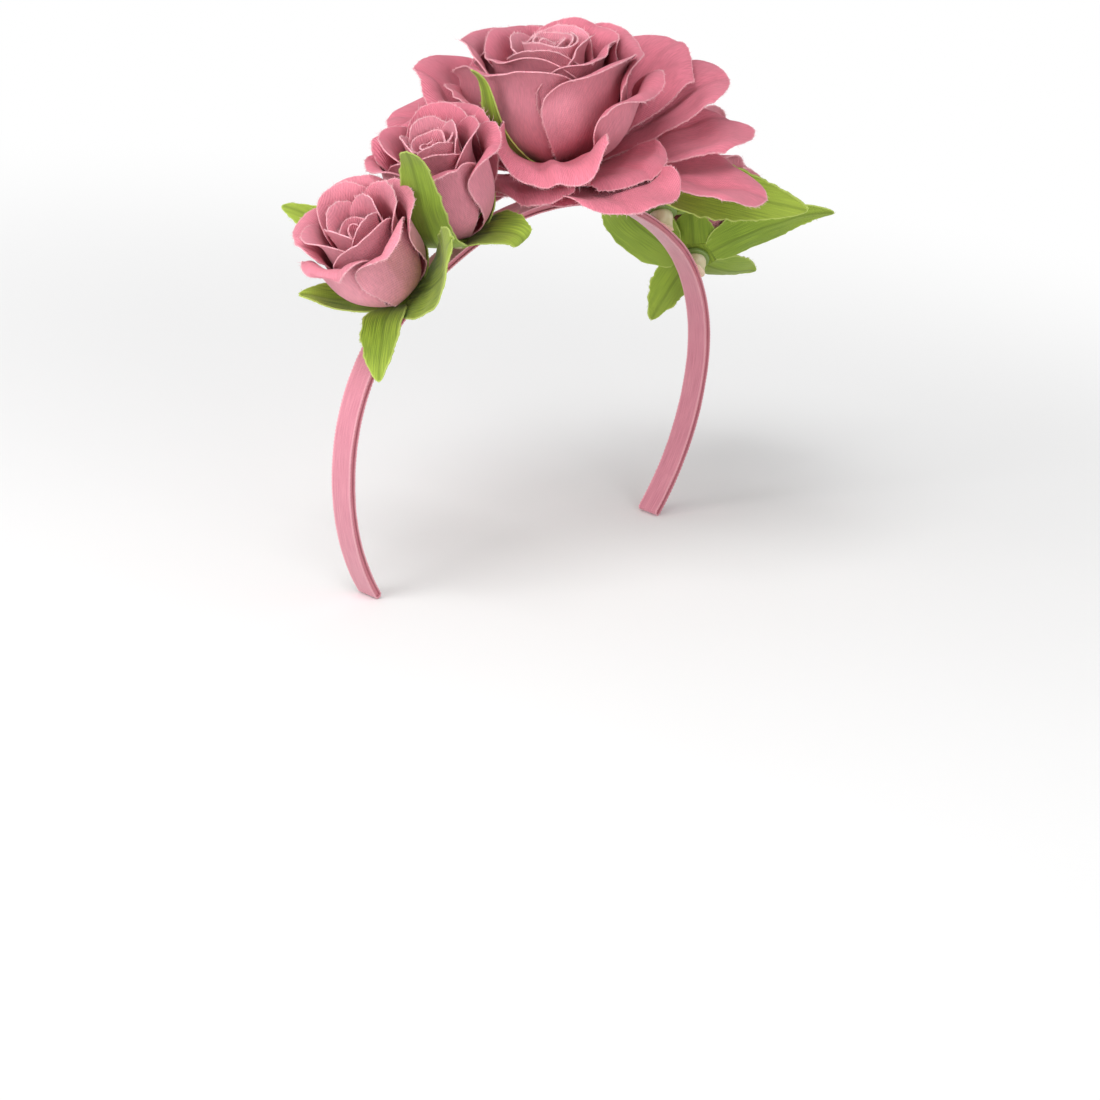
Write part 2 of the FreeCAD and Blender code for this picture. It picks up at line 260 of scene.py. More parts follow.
def new_material(name, roughness, **sockets):
    """An empty material with its shader, whose constants are set on the shader's own sockets."""
    material = bpy.data.materials.new(name)
    material.use_nodes = True
    tree = material.node_tree
    shader = tree.nodes["Principled BSDF"]
    shader.inputs["Roughness"].default_value = roughness
    for socket, value in sockets.items():
        shader.inputs[socket.replace("_", " ")].default_value = value
    return material, tree, shader


# %% Small helpers for node trees
def node(tree, kind, inputs=(), **settings):
    """A node with its settings, each input given as a value or as another node's output."""
    made = tree.nodes.new("ShaderNode" + kind)
    for key, value in settings.items():
        setattr(made, key, value)
    for key, value in dict(inputs).items():
        if isinstance(value, bpy.types.NodeSocket):
            tree.links.new(value, made.inputs[key])
        else:
            made.inputs[key].default_value = value
    return made


def maths(tree, operation, *values):
    """One Math node."""
    return node(tree, "Math", enumerate(values), operation=operation).outputs[0]


def blend_colours(tree, share, first, second, kind="MIX"):
    """One Mix node for colours, whose colours are its inputs 6 and 7 and its output 2."""
    return node(tree, "Mix", {0: share, 6: first, 7: second}, data_type="RGBA", blend_type=kind).outputs[2]


def ramp(tree, value, low, high, first=0.0, last=1.0):
    """A smooth step: first up to low, last from high on."""
    inputs = {0: value, 1: low, 2: high, 3: first, 4: last}
    return node(tree, "MapRange", inputs, interpolation_type="SMOOTHSTEP").outputs[0]


def raised(tree, shader, height, strength, depth):
    """Bump: where the height is 1, the surface seems to stand by the depth, in mm, over where it is 0."""
    made = node(tree, "Bump", {"Strength": strength, "Distance": depth * MM, "Height": height})
    tree.links.new(made.outputs[0], shader.inputs["Normal"])


def read(tree, name):
    """A number that the mesh carries at each point."""
    return node(tree, "Attribute", attribute_name=name).outputs["Fac"]


# %% The weave as lines over the flat cloth
def flat_mm(tree):
    """The cloth's flat coordinates in mm, across and along."""
    split = node(tree, "SeparateXYZ", {0: node(tree, "UVMap", uv_map="cloth").outputs[0]})
    return split.outputs[0], split.outputs[1]


def lines(tree, across, along, pitch, slant):
    """The sine of the distance square to lines at a slant, in turns of the pitch: from -1 to 1."""
    turn = math.radians(slant)
    first = maths(tree, "MULTIPLY", across, math.cos(turn) * 2 * math.pi / pitch)
    second = maths(tree, "MULTIPLY_ADD", along, math.sin(turn) * 2 * math.pi / pitch, first)
    return maths(tree, "SINE", second)


def threads(tree, across, along, fine, long):
    """Noise drawn out along the threads: fine per mm across them and long per mm along them."""
    place = node(tree, "CombineXYZ", {
        0: maths(tree, "MULTIPLY", across, fine), 1: maths(tree, "MULTIPLY", along, long)})
    noise = node(tree, "TexNoise", {"Vector": place.outputs[0], "Scale": 1.0, "Detail": 3.0})
    return noise.outputs["Fac"]


def mottle(tree, scale):
    """Soft cloudy noise in the object's own coordinates, about scale patches to the metre."""
    place = node(tree, "TexCoord").outputs["Object"]
    return node(tree, "TexNoise", {"Vector": place, "Scale": scale, "Detail": 3.0}).outputs["Fac"]


# %% The petal cloth
TWILL_PITCH, TWILL_SLANT = 0.44, 28  # mm from line to line, and degrees from straight across


def petal_cloth(name, face, foot_dye_and_shade, back, edge):
    """Dyed twill. The colour goes from a darker colour at the foot of a petal, partly the dye and partly
    painted shade where the petals crowd round the hub, to the face's colour, to the back's colour on the
    back, and in worn patches to the edge's colour within half a millimetre of the cut. Loose threads, which
    carry -1 as their distance from it, take most of the edge's colour."""
    material, tree, shader = new_material(
        name, 0.88, Sheen_Weight=0.15, Sheen_Roughness=0.45, Specular_IOR_Level=0.25,
        Sheen_Tint=(1.0, 0.86, 0.88, 1.0))
    across, along = flat_mm(tree)
    twill = lines(tree, across, along, TWILL_PITCH, TWILL_SLANT)
    slub = threads(tree, across, along, fine=3.0, long=0.35)
    cloud = mottle(tree, scale=55)
    # Towards a petal's foot the colour darkens: partly the dye, partly painted shade where the petals crowd
    # round the hub.
    colour = blend_colours(tree, ramp(tree, read(tree, "rise"), 0.0, 0.62), foot_dye_and_shade, face)
    colour = blend_colours(tree, maths(tree, "MULTIPLY", read(tree, "back"), 0.8), colour, back)
    shade = maths(tree, "MULTIPLY_ADD", twill, 0.05, ramp(tree, slub, 0.3, 0.7, 0.9, 1.08))
    shade = maths(tree, "MULTIPLY", shade, ramp(tree, cloud, 0.3, 0.7, 0.9, 1.07))
    shades = node(tree, "CombineXYZ", {0: shade, 1: shade, 2: shade}).outputs[0]
    colour = blend_colours(tree, 1.0, colour, shades, "MULTIPLY")
    patches = maths(tree, "MULTIPLY_ADD", threads(tree, across, along, fine=1.8, long=1.8), 2.2, -0.6)
    worn = maths(tree, "MULTIPLY", ramp(tree, read(tree, "rim"), 0.02, 0.45, 0.9, 0.0), patches)
    loose = ramp(tree, read(tree, "rim"), -0.8, -0.2, 0.9, 0.0)
    worn = maths(tree, "MAXIMUM", node(tree, "Clamp", {0: worn}).outputs[0], loose)
    colour = blend_colours(tree, worn, colour, edge)
    tree.links.new(colour, shader.inputs["Base Color"])
    raised(tree, shader, maths(tree, "MULTIPLY_ADD", slub, 1.2, twill), strength=0.6, depth=0.1)
    return material


# In each cloth the colour at a petal's foot is partly its dye and partly painted shade.
rose_twill = petal_cloth(
    "rose_twill", face=dye(215, 121, 139), foot_dye_and_shade=dye(204, 76, 98), back=dye(213, 138, 152),
    edge=dye(236, 187, 194))
dusky_twill = petal_cloth(
    "dusky_twill", face=dye(221, 135, 151), foot_dye_and_shade=dye(200, 76, 96), back=dye(216, 145, 158),
    edge=dye(236, 191, 197))
# A paler copy of the rose twill for the hearts and the innermost petals: painted light, lifting the shade
# that falls far inside each rose.
inner_twill_painted_light = petal_cloth(
    "inner_twill_painted_light", face=dye(231, 150, 166), foot_dye_and_shade=dye(212, 86, 108), back=dye(226, 151, 165),
    edge=dye(243, 203, 209))
print("petal cloths:", rose_twill.name, dusky_twill.name, inner_twill_painted_light.name)

# %% [markdown]
# Sepals and the leaf are a thin green cloth with its threads running lengthwise. It is darker along the
# middle, where a vein is pressed in, paler and drier at the edges, and its point is yellower. One colour
# after another is laid over the last, each by a share that depends on where the point lies.

# %% The leaf cloth
GREEN = dict(
    furrow=dye(80, 106, 18), thread=dye(138, 163, 44), cloud=dye(154, 174, 60), tip=dye(166, 184, 74),
    back=dye(128, 154, 52), vein=dye(84, 102, 28), edge=dye(188, 204, 108))


def leaf_cloth():
    """Green cloth with lengthwise fibres: fine noise drawn out about forty times along the leaf."""
    material, tree, shader = new_material("leaf_cloth", 0.78, Sheen_Weight=0.12, Specular_IOR_Level=0.3)
    across, along = flat_mm(tree)
    fibre = threads(tree, across, along, fine=4.2, long=0.1)
    weft = lines(tree, across, along, pitch=0.5, slant=90)
    cloud = mottle(tree, scale=45)
    colour = blend_colours(tree, ramp(tree, fibre, 0.34, 0.66), GREEN["furrow"], GREEN["thread"])
    for share, over in (
            (ramp(tree, cloud, 0.35, 0.7, 0.0, 0.45), "cloud"),
            (ramp(tree, read(tree, "rise"), 0.45, 1.0, 0.0, 0.45), "tip"),
            (maths(tree, "MULTIPLY", read(tree, "back"), 0.45), "back"),
            (ramp(tree, maths(tree, "ABSOLUTE", across), 0.15, 0.7, 0.4, 0.0), "vein"),
            (ramp(tree, read(tree, "rim"), 0.02, 0.5, 0.7, 0.0), "edge")):
        colour = blend_colours(tree, share, colour, GREEN[over])
    tree.links.new(colour, shader.inputs["Base Color"])
    raised(tree, shader, maths(tree, "MULTIPLY_ADD", weft, 0.15, fibre), strength=0.6, depth=0.12)
    return material


green_cloth = leaf_cloth()
print("leaf cloth:", len(green_cloth.node_tree.nodes), "nodes")

# %% [markdown]
# ## Ribbon, glue and plastic
#
# The ribbon is a narrow satin with a low sheen along its length and fine ribs across it. The glue is a cloudy
# amber wax. The cups and the core of the band are moulded, and their skin is a faint orange peel. Plain
# colours would pass from far off, but close by it is the small unevenness that tells one from another.

# %% Satin
SATIN = dict(
    fold=dye(190, 112, 130), thread=dye(212, 138, 152), rib=dye(174, 96, 114), edge=dye(222, 158, 168))


def satin():
    """Satin ribbon: fine ribs across, long fibres along, and paler at the woven edge."""
    material, tree, shader = new_material(
        "ribbon_satin", 0.42, Sheen_Weight=0.3, Specular_IOR_Level=0.4, Anisotropic=0.4)
    across, along = flat_mm(tree)
    rib = lines(tree, across, along, pitch=0.42, slant=90)
    fibre = threads(tree, across, along, fine=5.0, long=0.12)
    colour = blend_colours(tree, ramp(tree, fibre, 0.3, 0.7), SATIN["fold"], SATIN["thread"])
    colour = blend_colours(tree, ramp(tree, rib, -1.0, 1.0, 0.0, 0.16), colour, SATIN["rib"])
    edge = ramp(tree, read(tree, "rim"), 0.25, 0.6, 0.7, 0.0)
    tree.links.new(blend_colours(tree, edge, colour, SATIN["edge"]), shader.inputs["Base Color"])
    raised(tree, shader, maths(tree, "MULTIPLY_ADD", rib, 0.6, fibre), strength=0.5, depth=0.07)
    return material


ribbon_satin = satin()
print("satin:", len(ribbon_satin.node_tree.nodes), "nodes")


# %% Plastics and glue
def moulded(name, base, other, roughness, scale):
    """Moulded plastic or set glue: two close colours in soft patches, about scale of them to the metre, and
    a faint orange peel twelve times as fine."""
    material, tree, shader = new_material(name, roughness)
    colour = blend_colours(tree, ramp(tree, mottle(tree, scale), 0.35, 0.65), base, other)
    tree.links.new(colour, shader.inputs["Base Color"])
    raised(tree, shader, mottle(tree, scale * 12), strength=0.3, depth=0.2)
    return material


core_plastic = moulded("core_plastic", dye(196, 120, 132), dye(186, 108, 122), roughness=0.5, scale=60)
cup_plastic = moulded("cup_plastic", dye(104, 128, 62), dye(118, 142, 72), roughness=0.45, scale=90)
hot_glue = moulded("hot_glue", dye(226, 208, 172), dye(238, 224, 196), roughness=0.3, scale=240)
print("plastics and glue:", core_plastic.name, cup_plastic.name, hot_glue.name)

# %% [markdown]
# ## A petal
#
# A real petal is stamped from flat cloth, cupped with a hot ball tool and curled over a rod. Modelling it by
# hand would mean sculpting nearly a hundred of them. Instead it is worked out as a surface of two parameters:
# s runs from the hub to the rim and t from one side to the other. The spine rises out of the hub in a curve,
# the cloth bends round the spine as a cylinder of the cup radius, and on top of that come the things that a
# solid leaves out: a curled rim, ruffles that grow towards it, small dents, and a fold where a petal has one.
# The main shape is the solid's own formula, so the cloth stays where the solid is.
#
# A petal's settings are in millimetres and degrees. The spine starts at the slope base, reaches slope after
# the share bowl of its length and then rolls out by roll. Cup is the radius across, twist turns the petal
# about its spine, and sweep carries its end sideways. Ruffle, curl, lip, dent and crease say how far the hand
# moved the cloth, folds lists folds by place, height and width, and a low blunt widens a lobe's point.

# %% The settings of a petal
PETAL = dict(
    slope=90, roll=0, twist=8, sweep=0, ruffle=0.7, curl=1.0, lip=0.8, dent=0.35, crease=0.35, folds=(),
    blunt=0.75)
CLOTH, GREEN_CLOTH = 0.35, 0.4  # mm thick
RIM_ROUND = 0.22  # the share of its length by which a petal's corners draw back
LEAF_POINT = 0.8  # mm, the width of a lobe's tip


def vary(shared, *changes):
    """One petal for each change, on top of the settings that the layer's petals share."""
    return [{**PETAL, **shared, **change} if change is not None else None for change in changes]


def ring(count, **shared):
    """Petals that are all alike but for their dents."""
    return vary(shared, *[{}] * count)


def sepals(base, *changes):
    """Pointed calyx lobes, flatter and stiffer than petals."""
    shared = dict(
        base=base, bowl=0.85, cup=12, twist=0, width=11, ruffle=0.9, curl=2.2, lip=0.5, dent=0.4, crease=0)
    return vary(shared, *changes)


print("settings of a petal:", ", ".join(PETAL))


# %% Two curves that shape everything here
def fade(x, start, over):
    """Nought up to start, one from start plus over on, and a straight line between."""
    return np.clip((x - start) / over, 0, 1)


def bell(x, width):
    """One at nought, falling to either side as the exponential of minus the square of x over the width."""
    return np.exp(-((x / width) ** 2))


print("a fade half way:", fade(0.5, 0, 1), "and a bell at its width:", round(float(bell(1, 1)), 3))


# %% The main shape of a petal
def slope_at(petal, s):
    """The spine's slope at a share s of its length. It goes from base to slope along a smooth step over the
    bowl, and the rim rolls out as a square over the last third."""
    up = fade(s, 0, petal["bowl"])
    ease = up * up * (3 - 2 * up)
    out = np.clip((s - 0.66) / 0.34, 0, None) ** 2
    return np.radians(petal["base"] + (petal["slope"] - petal["base"]) * ease - petal["roll"] * out)


def half_width(petal, s, side, pointed):
    """Half the width at s: the hub's side fading as a square, plus a swell, the sine of a power of s. A
    lobe's swell is raised to its blunt setting, and its tip keeps a narrow width."""
    root = side / 2 * (1 - s) ** 2
    if pointed:
        swell = np.sin(np.pi * np.clip(s, 0, 1) ** 0.9) ** petal["blunt"]
        return root + LEAF_POINT / 2 * s + (petal["width"] - LEAF_POINT) / 2 * swell
    return root + petal["width"] / 2 * np.sin(0.62 * np.pi * s**1.2)


def petal_sheet(petal, hub, count, pointed, s, t):
    """A petal's face as a grid. The spine is the running sum of the cosine and the sine of its slope. Across
    it the cloth follows an arc, so a point at arc length a lies aside by sin(a c) / c and up by
    (1 - cos(a c)) / c, for a curvature c. The two are turned by the twist, and the sweep grows as the square
    of s."""
    fine = np.linspace(0, 1, 400)
    slopes = slope_at(petal, fine)
    step = fine[1] * petal["length"]
    out = np.concatenate([[0], np.cumsum(np.cos((slopes[1:] + slopes[:-1]) / 2)) * step])
    up = np.concatenate([[0], np.cumsum(np.sin((slopes[1:] + slopes[:-1]) / 2)) * step])
    along = s if pointed else s * (1 - RIM_ROUND * t * t * s)
    angle = slope_at(petal, along)
    arc = half_width(petal, s, 2 * hub * math.tan(math.pi / count), pointed) * t
    curve = np.maximum((1 - np.exp(-6 * s)) / petal["cup"], 1e-6)
    aside, lift = np.sin(arc * curve) / curve, (1 - np.cos(arc * curve)) / curve
    turn = np.radians(petal["twist"]) * np.minimum(1, s / 0.6)
    aside, lift = aside * np.cos(turn) - lift * np.sin(turn), aside * np.sin(turn) + lift * np.cos(turn)
    x = hub + np.interp(along, fine, out) - np.sin(angle) * lift
    y = aside + petal["sweep"] * along * along
    z = np.interp(along, fine, up) + np.cos(angle) * lift
    return np.stack([x, y, z], axis=-1), arc, along * petal["length"]


# %% What the hand adds to a petal
FULL_LENGTH = 34  # mm: a petal of this length or more shows all of it


def dents(across, along, rng, size, waves=5):
    """Low random waves: the mean of a few sines in random directions, each about one turn per size."""
    turns = rng.uniform(0.6, 1.6, waves) * 2 * np.pi / size
    heading, phase = rng.uniform(0, np.pi, waves), rng.uniform(0, 2 * np.pi, waves)
    place = across[..., None] * np.cos(heading) + along[..., None] * np.sin(heading)
    return np.sin(place * turns + phase).mean(axis=-1)


def hand_work(petal, s, t, across, along, rng):
    """How far the cloth is moved along its normal: ruffles that grow as the cube of s and are strongest at
    the sides, a rim that curls back as a square, low dents, one soft crease where the cloth was pinched, and
    folds, each a bell across the petal. The side that the twist turns outwards curls back with the rim, and
    the other one tucks in under the next petal. On small petals all of it fades as the square of the
    length."""
    wave = rng.uniform(15, 21)  # mm from crest to crest
    phase = rng.uniform(0, 2 * np.pi)
    push = petal["ruffle"] * s**3 * np.sin(2 * np.pi * across / wave + phase) * (0.35 + 0.65 * t * t)
    rim_back = petal["curl"] * fade(s, 0.8, 0.2) ** 2
    side_back = petal["lip"] * s * fade(np.abs(t), 0.7, 0.3) ** 2
    under = t * petal["twist"] > 0
    push -= np.where(under, rim_back - 0.7 * side_back, np.hypot(rim_back, side_back))
    push += petal["dent"] * dents(across, along, rng, 14) * fade(s, 0, 0.3)
    middle = rng.uniform(-0.55, 0.55) + rng.uniform(-0.35, 0.35) * s
    push -= petal["crease"] * bell(t - middle, 0.11) * fade(s, 0.3, 0.4)
    for where, height, width in petal["folds"]:
        push += height * bell(t - where, width) * fade(s, 0.15, 0.4)
    return push * min(1, petal["length"] / FULL_LENGTH) ** 2


# %% Cutting one petal
VEIN_DEPTH, VEIN_WIDTH = 0.45, 0.9  # mm, pressed into the middle of a lobe


def cut_petal(petal, hub, count, pointed, cloth, rows, cols, rng):
    """One petal's shell, the points, directions and normals along its cut edge for the fraying, and the same
    edge on the flat cloth. The grid is closer towards the rim and the sides. The cut wanders by up to lobe,
    and its nicks shift single points of the edge by about a tenth of a millimetre."""
    v, u = np.meshgrid(np.linspace(0, 1, rows), np.linspace(-1, 1, cols), indexing="ij")
    s, t = v * (1.4 - 0.4 * v), u * (1.3 - 0.3 * u * u)
    nick, lobe, end = (0.16, 0.5, 0.1) if pointed else (0.09, 0.25, 1)
    side = half_width(petal, s, 2 * hub * math.tan(math.pi / count), pointed)
    points, across, along = petal_sheet(petal, hub, count, pointed, s, t)
    points = points + directions(points)[2] * hand_work(petal, s, t, across, along, rng)[..., None]
    down, over, _ = directions(points)
    shorter = s**6 * (rng.normal(0, nick, cols) + lobe * dents(t * 20, s * 20, rng, 9)) * end
    narrower = rng.normal(0, nick, (rows, 1)) + lobe * dents(t * 9, s * petal["length"], rng, 7)
    narrower = np.sign(t) * np.abs(t) ** 10 * fade(s, 0, 0.2) * narrower * fade(side, 0, 4)
    points = points + down * shorter[..., None] + over * narrower[..., None]
    if pointed:
        vein = VEIN_DEPTH * bell(across, VEIN_WIDTH) * fade(s, 0, 0.15) * fade(1 - s, 0, 0.2)
        points = points - directions(points)[2] * vein[..., None]
    rim = np.minimum((1 - np.abs(t)) * side, (1 - s) * petal["length"])
    shift = rng.uniform(0, 40, 2)
    flat = np.stack([across + (0 if pointed else shift[0]), along + shift[1]], axis=-1)
    down, over, normal = directions(points)
    edge = border(rows, cols)[: 2 * rows + cols - 3]
    at_edge = lambda grid: grid.reshape(rows * cols, -1)[edge]
    away = np.where((np.arange(len(edge)) < rows - 1)[:, None], -at_edge(over), at_edge(over))
    rim_end = (edge // cols) == rows - 1
    away[rim_end] = at_edge(down)[rim_end]
    cut = at_edge(points - normal * cloth / 2)
    stamped = at_edge(np.stack([hub + along, across], axis=-1))
    return shell(points, cloth, flat, rim, s), (cut, away, at_edge(normal)), stamped


# %% [markdown]
# ## Frayed edges
#
# The cloth is cut and not hemmed, so single threads stand out of every edge and catch the light. A particle
# system of hairs would do it, but hairs are no mesh and would be lost in an export. Here each thread is a
# tiny three-sided spike of seven points. They start at random places along the cut, lean at random, and a few
# are long strays.

# %% Threads along a cut edge
def fray(cut, away, normal, rng, spacing, length, thick=0.055, root=0.12, stray=0.025, stray_length=2.6):
    """Spikes along a line of points. Each starts a root's length inside the cut, is bent once half way, and
    comes to a point. Its three sides are set round it by the cosine and the sine of thirds of a turn. Lengths
    vary as the exponential of a normal draw, and the share stray of them is stray_length times as long."""
    steps = np.linalg.norm(np.diff(cut, axis=0), axis=1)
    place = np.concatenate([[0], np.cumsum(steps)])
    count = max(4, int(place[-1] / spacing))
    at = np.sort(rng.uniform(place[-1] * 0.04, place[-1] * 0.96, count))
    pick = lambda grid: np.stack([np.interp(at, place, grid[:, k]) for k in range(3)], axis=1)
    foot, lead, side = pick(cut), unit(pick(away)), unit(pick(normal))
    cross = np.cross(lead, side)
    lean = rng.normal(0, 0.45, (count, 1)) * cross + rng.normal(0, 0.35, (count, 1)) * side
    bend = rng.normal(0, 0.4, (count, 1)) * cross + rng.normal(0, 0.45, (count, 1)) * side
    reach = length * rng.lognormal(0, 0.45, (count, 1))
    reach = np.where(rng.random((count, 1)) < stray, reach * stray_length, reach)
    middle = foot + unit(lead + lean) * reach * 0.55
    tip = middle + unit(lead + lean + bend) * reach * 0.45
    foot = foot - lead * root
    turn = np.arange(3) * 2 * np.pi / 3
    round_it = cross[:, None] * np.cos(turn)[None, :, None] + side[:, None] * np.sin(turn)[None, :, None]
    low = foot[:, None] + round_it * thick
    mid = middle[:, None] + round_it * thick * 0.7
    spikes = np.concatenate([low, mid, tip[:, None]], axis=1)
    faces = [(0, 1, 2)]
    for k, m in ((0, 1), (1, 2), (2, 0)):
        faces += [(k, m + 3, m), (k, k + 3, m + 3), (k + 3, 6, m + 3)]
    each = spikes.shape[1]
    triangles = (np.arange(count)[:, None, None] * each + np.array(faces)).reshape(-1, 3)
    extra = np.tile([0.0, 0.0, -1.0, 1.0, 0.0], (count * each, 1))
    extra[:, :2] = rng.uniform(0, 60, (count, 2)).repeat(each, axis=0)
    return spikes.reshape(-1, 3), [triangles], extra


# %% [markdown]
# ## A layer: petals round a hub
#
# Each layer is one die-cut piece: petals that grow from the sides of a small polygon with a hole for the peg.
# An Array modifier would repeat one petal round the stem, but no two real ones are alike, so each is cut with
# its own settings and its own dents, and then turned to its side of the polygon. The hub is a ring whose
# outline is the polygon, worked out from the angle. The whole layer is lifted to the height at which its
# solid's hub lies.

# %% The hub
def hub_ring(hub, count, cloth, hole=1.6, steps=12):
    """A flat ring with a polygon outline: at an angle a from the middle of a side it reaches hub / cos a,
    and a fiftieth further, under the petals' feet. The section goes from the inner top to the inner under
    side."""
    angle = np.linspace(0, 2 * np.pi, steps * count, endpoint=False)
    half = np.pi / count
    reach = hub * 1.02 / np.cos((angle + half) % (2 * half) - half)
    radii = np.stack([np.full_like(reach, hole), reach, reach, np.full_like(reach, hole)], axis=1)
    level = np.array([0, 0, -cloth, -cloth])
    points = np.stack([radii * np.cos(angle)[:, None], radii * np.sin(angle)[:, None],
                       np.broadcast_to(level, radii.shape)], axis=-1)
    i = np.arange(len(angle) * 4).reshape(-1, 4)
    ahead = np.roll(i, -1, axis=0)
    quads = np.stack([i, np.roll(i, -1, axis=1), np.roll(ahead, -1, axis=1), ahead], axis=-1)
    points = points.reshape(-1, 3)
    extra = np.zeros((len(points), 5))
    extra[:, :2], extra[:, 2] = points[:, :2], FAR_INSIDE
    return points, [quads.reshape(-1, 4)], extra


def turned(points, degrees):
    """Points turned about Z."""
    c, s = math.cos(math.radians(degrees)), math.sin(math.radians(degrees))
    return points @ np.array([[c, s, 0], [-s, c, 0], [0, 0, 1]])


# %% What a layer was cut from
def flat_size(pieces):
    """The area of flat outlines, half the sum of their cross products, and the sides of the smallest
    rectangle round them among those turned by 0 to 89 degrees."""
    area = sum(
        abs(np.sum(p[:, 0] * np.roll(p[:, 1], -1) - np.roll(p[:, 0], -1) * p[:, 1])) / 2 for p in pieces)
    every = np.concatenate(pieces)
    angle = np.radians(np.arange(90))[:, None]
    along = every[:, 0] * np.cos(angle) + every[:, 1] * np.sin(angle)
    over = every[:, 1] * np.cos(angle) - every[:, 0] * np.sin(angle)
    sides = np.stack([np.ptp(along, axis=1), np.ptp(over, axis=1)], axis=1)
    return area, np.sort(sides[np.argmin(sides.prod(axis=1))])


# %% A whole layer
def own_draws(name):
    """Random draws that are a piece's own and the same in every run, seeded by the letters of its name."""
    return np.random.default_rng(sum(map(ord, name)) * 7919)


def stack_layer(rose, layer, petals, hub, turn, material, size):
    """One die-cut layer as a piece of cloth, and its frayed edge as another. The sides of the hub lie at
    the distance hub from the stem, the first petal stands at turn degrees, and size is the rows and columns
    of a petal's grid."""
    name = f"{rose}_{layer}"
    pointed = "petals" not in layer
    cloth, spacing, hair = (GREEN_CLOTH, 0.45, 0.34) if pointed else (CLOTH, 0.3, 0.46)
    rng = own_draws(name)
    level = hub_top(rose, name)
    step = 360 / len(petals)
    settle = lambda points, k: out_of_rose(stems[rose], turned(points, step * k + turn) + (0, 0, level))
    spin = lambda vectors, k: turned(vectors, step * k + turn) @ stems[rose][1].T
    points, faces, extra = hub_ring(hub, len(petals), cloth)
    parts, hairs, stamped = [(settle(points, 0), faces, extra)], [], [points[1::4, :2]]
    for k, petal in enumerate(petals):
        if not petal:
            continue
        (points, faces, extra), (cut, away, normal), outline = cut_petal(
            petal, hub, len(petals), pointed, cloth, *size, rng)
        parts.append((settle(points, k), faces, extra))
        hairs.append(fray(settle(cut, k), spin(away, k), spin(normal, k), rng, spacing, hair))
        stamped.append(turned(np.column_stack([outline, 0 * outline[:, 0]]), step * k)[:, :2])
    piece = make_piece(f"{name}_cloth", parts, material, [name])
    fringe = make_piece(f"{name}_fray", hairs, material, [name])
    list(flat_size(stamped))


# %% [markdown]
# ## The heart
#
# At the middle of each rose a strip is rolled up round the peg. Seen from above it is a spiral that opens
# towards its mouth. It could be a Screw modifier on a line, but the strip's top edge is wavy and leans out a
# little, as rolled cloth does, so it is worked out point by point.

# %% Rolling the heart
def roll_heart(rose, turns, inner=1.7, pitch=1.7, flare=0.16, cloth=0.5):
    """A spiral strip: at a turn a its radius is inner + pitch a, times one plus the flare times the share of
    the height. The rim waves up and down and in and out by sums of sines of the angle."""
    name = f"{rose}_heart"
    rng = own_draws(name)
    local = in_rose(stems[rose], node_points(name)[0])
    low, high = local[:, 2].min(), local[:, 2].max()
    v, a = np.meshgrid(np.linspace(0, 1, 26), np.linspace(0, turns, int(turns * 70)), indexing="ij")
    angle = 2 * np.pi * a
    phase = rng.uniform(0, 2 * np.pi, 4)
    wave = np.sin(angle * 1.7 + phase[0]) + 0.6 * np.sin(angle * 3.1 + phase[1])
    reach = (inner + pitch * a) * (1 + flare * v) + 0.45 * v**3 * np.sin(angle * 3.3 + phase[2])
    reach = reach + 0.5 * fade(v, 0.86, 0.14) ** 2 * np.clip(a / turns * 1.6 - 0.3, 0, 1)
    rise = low + (high - low) * v * (0.95 + 0.03 * wave - 0.08 * (1 - a / turns))
    points = np.stack([reach * np.cos(angle), reach * np.sin(angle), rise], axis=-1)
    along = (inner + pitch * a / 2) * angle
    flat = np.stack([along, rise], axis=-1)
    rim = np.minimum((1 - v) * (high - low), FAR_INSIDE)
    # The strip's lower part takes some of the darker foot colour: partly dye, partly painted shade inside the
    # roll.
    grid, faces, extra = shell(points, cloth, flat, rim, 0.45 + 0.55 * v)
    down, _, normal = directions(points)
    cut = out_of_rose(stems[rose], points[-1] - normal[-1] * cloth / 2)
    spun = [vectors @ stems[rose][1].T for vectors in (down[-1], normal[-1])]
    strip = [(out_of_rose(stems[rose], grid), faces, extra)]
    # The heart takes the paler twill, painted light against the shade inside the rose.
    roll = make_piece(f"{name}_roll", strip, inner_twill_painted_light, [name])
    hairs = [fray(cut, *spun, rng, spacing=0.25, length=0.5)]
    fringe = make_piece(f"{name}_fray", hairs, inner_twill_painted_light, [name])


# %% [markdown]
# ## The large rose
#
# The largest rose stands at the top of the head and has opened fully. Four layers of spread petals and one
# long leaf lie under it, each petal with its own length, slope and curl, because it is those that give the
# rose its outline. Inside them, over a small calyx, stands a full bud of rounder petals.

# %% Spread petals under the large rose
BROAD = (46, 45)  # rows and columns of a broad petal's grid
outer = dict(width=34, bowl=0.5, cup=34, twist=5, ruffle=1.5, curl=3.0, lip=2.0, dent=0.8, crease=1.1)

